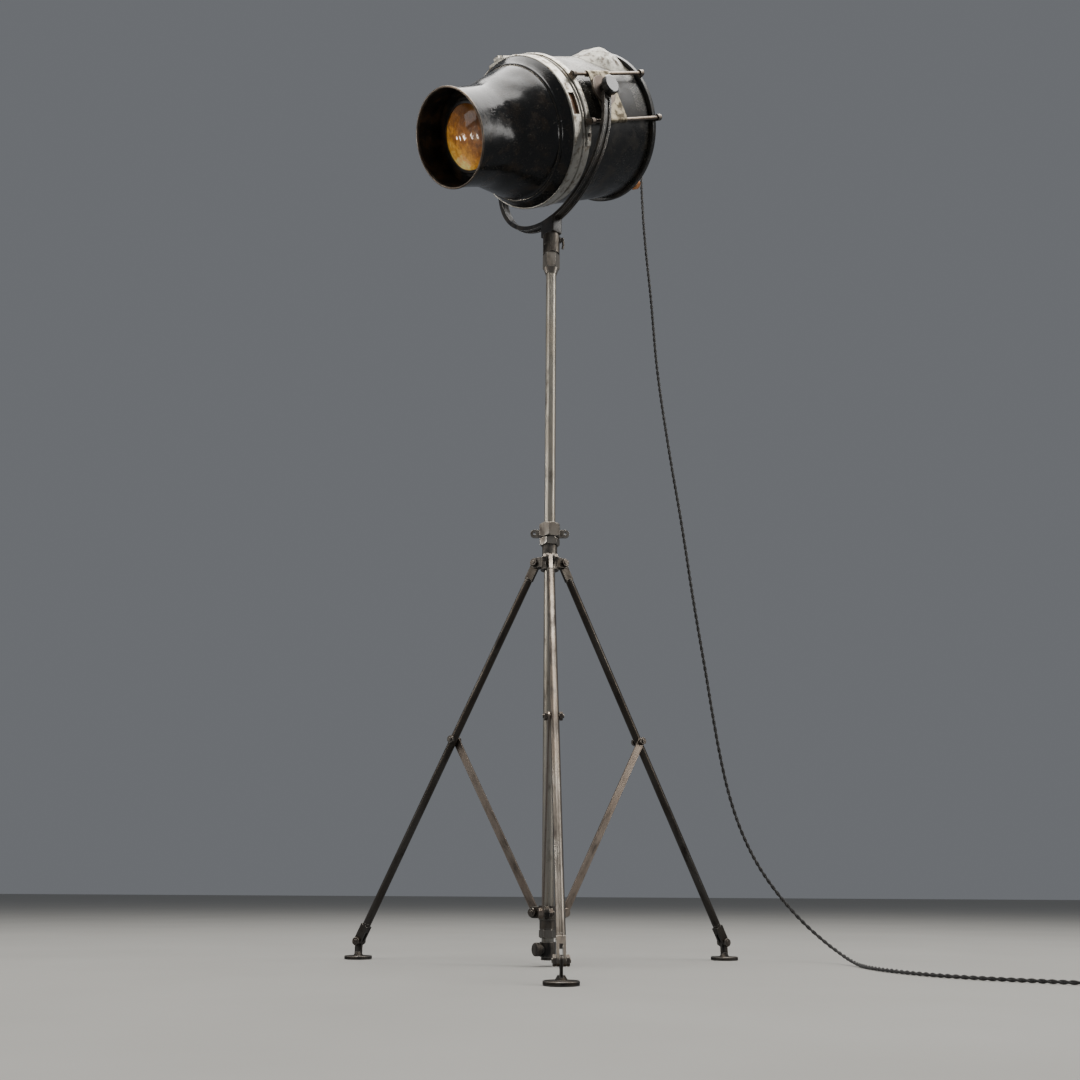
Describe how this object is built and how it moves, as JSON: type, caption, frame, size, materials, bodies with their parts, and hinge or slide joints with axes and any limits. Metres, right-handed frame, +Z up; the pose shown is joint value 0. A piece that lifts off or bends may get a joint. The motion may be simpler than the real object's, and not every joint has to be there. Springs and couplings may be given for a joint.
{
  "type": "tripod floor lamp",
  "caption": "Old studio spotlight with a snoot and a balance saddle, in a yoke on a folding steel tripod with flat-bar braces and disc feet, and a twisted flex.",
  "frame": {"origin": "floor level, on the axis of the mast", "axes": "+Z up along the mast; -Y towards the front foot's side, from which the lamp looks to its left; +X to the right"},
  "size_m": [1.2491, 0.6246, 1.8163],
  "materials": {
    "mast_steel": "bare drawn tube, brushed, with a brown patina",
    "leg_steel": "bare tube and forgings, worn bright on the edges",
    "bar_steel": "brown-tinted flat bar with bright edges",
    "foot_steel": "dark oiled steel with a bright rim",
    "dark_steel": "dark cast and turned steel, worn on the edges",
    "nut_steel": "turned steel, stained",
    "bolt_steel": "bright bolts with dark corners",
    "rod_steel": "drawn rod with a brown patina",
    "yoke_enamel": "black paint worn to steel along the ribs",
    "saddle_bronze": "dull bronze plate",
    "black_enamel": "glossy black stoved paint with pits and brown wear",
    "bezel_enamel": "matt black",
    "ring_aluminium": "sand-cast aluminium, dull",
    "cowl_metal": "worn thin paint over bright sheet",
    "lens_glass": "thick clear glass",
    "amber_glass": "amber colour glass",
    "bulb_glass": "clear bulb",
    "holder_brass": "spun brass",
    "brown_bakelite": "mottled brown",
    "black_bakelite": "black moulded",
    "flex_braid": "black twisted braided flex"
  },
  "bodies": {
    "mast": {"mast_tube": "mast_steel", "mast_end_cap": "dark_steel", "mast_coupling": "nut_steel", "spigot_receiver": "dark_steel", "stop_collar": "dark_steel", "spider_collar": "dark_steel", "spider_pins": "bolt_steel", "spider_nut": "nut_steel", "cord_run": "flex_braid", "cord_coil": "flex_braid", "plug": "black_bakelite"},
    "stop_screw": {"stop_screw": "dark_steel"},
    "hinge_head": {"hinge_head": "dark_steel", "hinge_bolts": "bolt_steel", "hinge_head_nut": "nut_steel"},
    "clamp_nut": {"mast_clamp_nut": "nut_steel"},
    "leg_front": {"leg_tube_front": "leg_steel", "leg_eye_front": "leg_steel", "leg_fork_front": "leg_steel", "leg_bolts_front": "bolt_steel"},
    "brace_front": {"brace_front": "bar_steel"},
    "foot_front": {"foot_front": "foot_steel"},
    "leg_right": {"leg_tube_right": "leg_steel", "leg_eye_right": "leg_steel", "leg_fork_right": "leg_steel", "leg_bolts_right": "bolt_steel"},
    "brace_right": {"brace_right": "bar_steel"},
    "foot_right": {"foot_right": "foot_steel"},
    "leg_left": {"leg_tube_left": "leg_steel", "leg_eye_left": "leg_steel", "leg_fork_left": "leg_steel", "leg_bolts_left": "bolt_steel"},
    "brace_left": {"brace_left": "bar_steel"},
    "foot_left": {"foot_left": "foot_steel"},
    "receiver_lever": {"receiver_lever": "dark_steel"},
    "yoke": {"yoke": "yoke_enamel", "yoke_block": "yoke_enamel"},
    "saddle": {"saddle_plate_near": "saddle_bronze", "saddle_plate_far": "saddle_bronze", "pivot_studs_and_discs": "bolt_steel", "tilt_nut": "bolt_steel"},
    "tilt_knob": {"tilt_knob": "black_bakelite"},
    "head": {"snoot": "black_enamel", "lens_bezel": "bezel_enamel", "lens": "lens_glass", "clamp_ring": "ring_aluminium", "ring_band": "ring_aluminium", "ring_screws": "bolt_steel", "amber_glass": "amber_glass", "lamp_drum": "black_enamel", "rear_cover": "black_enamel", "vent_cowl": "cowl_metal", "balance_rods": "rod_steel", "rod_lugs": "bolt_steel", "cord_gland": "black_bakelite"},
    "focus": {"focus_carriage": "dark_steel", "focus_rod": "rod_steel", "focus_knob": "brown_bakelite", "lampholder": "holder_brass", "bulb": "bulb_glass"}
  },
  "joints": [
    {"name": "fold_slide", "type": "slide", "parent": "mast", "child": "hinge_head", "axis": [0, 0, 1], "range_m": [0, 0.0842]},
    {"name": "clamp_nut_turn", "type": "hinge", "parent": "hinge_head", "child": "clamp_nut", "pos_m": [0, 0, 0.737], "axis": [0, 0, 1], "range_deg": [0, 120]},
    {"name": "leg_front_hinge", "type": "hinge", "parent": "hinge_head", "child": "leg_front", "pos_m": [0.00122, -0.02697, 0.679], "axis": [0.999, 0.0454, 0], "range_deg": [0, 26.3]},
    {"name": "brace_front_hinge", "type": "hinge", "parent": "leg_front", "child": "brace_front", "pos_m": [0.00869, -0.19125, 0.37231], "axis": [0.999, 0.0454, 0], "range_deg": [-53.74, 0]},
    {"name": "foot_front_swivel", "type": "hinge", "parent": "leg_front", "child": "foot_front", "pos_m": [0.01701, -0.37461, 0.03], "axis": [0.999, 0.0454, 0], "range_deg": [-26.3, 0]},
    {"name": "leg_right_hinge", "type": "hinge", "parent": "hinge_head", "child": "leg_right", "pos_m": [0.02275, 0.01455, 0.679], "axis": [-0.5388, 0.8425, 0], "range_deg": [0, 26.3]},
    {"name": "brace_right_hinge", "type": "hinge", "parent": "leg_right", "child": "brace_right", "pos_m": [0.16129, 0.10315, 0.37231], "axis": [-0.5388, 0.8425, 0], "range_deg": [-53.74, 0]},
    {"name": "foot_right_swivel", "type": "hinge", "parent": "leg_right", "child": "foot_right", "pos_m": [0.31592, 0.20204, 0.03], "axis": [-0.5388, 0.8425, 0], "range_deg": [-26.3, 0]},
    {"name": "leg_left_hinge", "type": "hinge", "parent": "hinge_head", "child": "leg_left", "pos_m": [-0.02397, 0.01243, 0.679], "axis": [-0.4602, -0.8878, 0], "range_deg": [0, 26.3]},
    {"name": "brace_left_hinge", "type": "hinge", "parent": "leg_left", "child": "brace_left", "pos_m": [-0.16997, 0.08811, 0.37231], "axis": [-0.4602, -0.8878, 0], "range_deg": [-53.74, 0]},
    {"name": "foot_left_swivel", "type": "hinge", "parent": "leg_left", "child": "foot_left", "pos_m": [-0.33293, 0.17258, 0.03], "axis": [-0.4602, -0.8878, 0], "range_deg": [-26.3, 0]},
    {"name": "stop_screw_turn", "type": "hinge", "parent": "mast", "child": "stop_screw", "pos_m": [0, 0, 0.026], "axis": [-0.8425, -0.5388, 0], "range_deg": [0, 180]},
    {"name": "receiver_lever_turn", "type": "hinge", "parent": "mast", "child": "receiver_lever", "pos_m": [0, 0, 1.347], "axis": [0.9903, -0.1392, 0], "range_deg": [-70, 70]},
    {"name": "yoke_pan", "type": "hinge", "parent": "mast", "child": "yoke", "pos_m": [0, 0, 1.34], "axis": [0, 0, 1], "range_deg": [-170, 170], "deforming": ["cord_run"]},
    {"name": "head_tilt", "type": "hinge", "parent": "yoke", "child": "saddle", "pos_m": [0, 0, 1.608], "axis": [0.6361, -0.7716, 0], "range_deg": [-60, 10], "deforming": ["cord_run"]},
    {"name": "tilt_knob_turn", "type": "hinge", "parent": "saddle", "child": "tilt_knob", "pos_m": [0.11131, -0.13503, 1.608], "axis": [0.6361, -0.7716, 0], "range_deg": [0, 120]},
    {"name": "balance_slide", "type": "slide", "parent": "saddle", "child": "head", "axis": [-0.6689, -0.5514, -0.4985], "range_m": [-0.02, 0.02], "deforming": ["cord_run"]},
    {"name": "focus_slide", "type": "slide", "parent": "head", "child": "focus", "axis": [-0.6689, -0.5514, -0.4985], "range_m": [-0.03, 0.006]}
  ],
  "couplings": [
    {"joint": "leg_front_hinge", "follows": "fold_slide", "rad_per_m": 5.431},
    {"joint": "brace_front_hinge", "follows": "fold_slide", "rad_per_m": -11.12},
    {"joint": "foot_front_swivel", "follows": "fold_slide", "rad_per_m": -5.431},
    {"joint": "leg_right_hinge", "follows": "fold_slide", "rad_per_m": 5.431},
    {"joint": "brace_right_hinge", "follows": "fold_slide", "rad_per_m": -11.12},
    {"joint": "foot_right_swivel", "follows": "fold_slide", "rad_per_m": -5.431},
    {"joint": "leg_left_hinge", "follows": "fold_slide", "rad_per_m": 5.431},
    {"joint": "brace_left_hinge", "follows": "fold_slide", "rad_per_m": -11.12},
    {"joint": "foot_left_swivel", "follows": "fold_slide", "rad_per_m": -5.431}
  ]
}
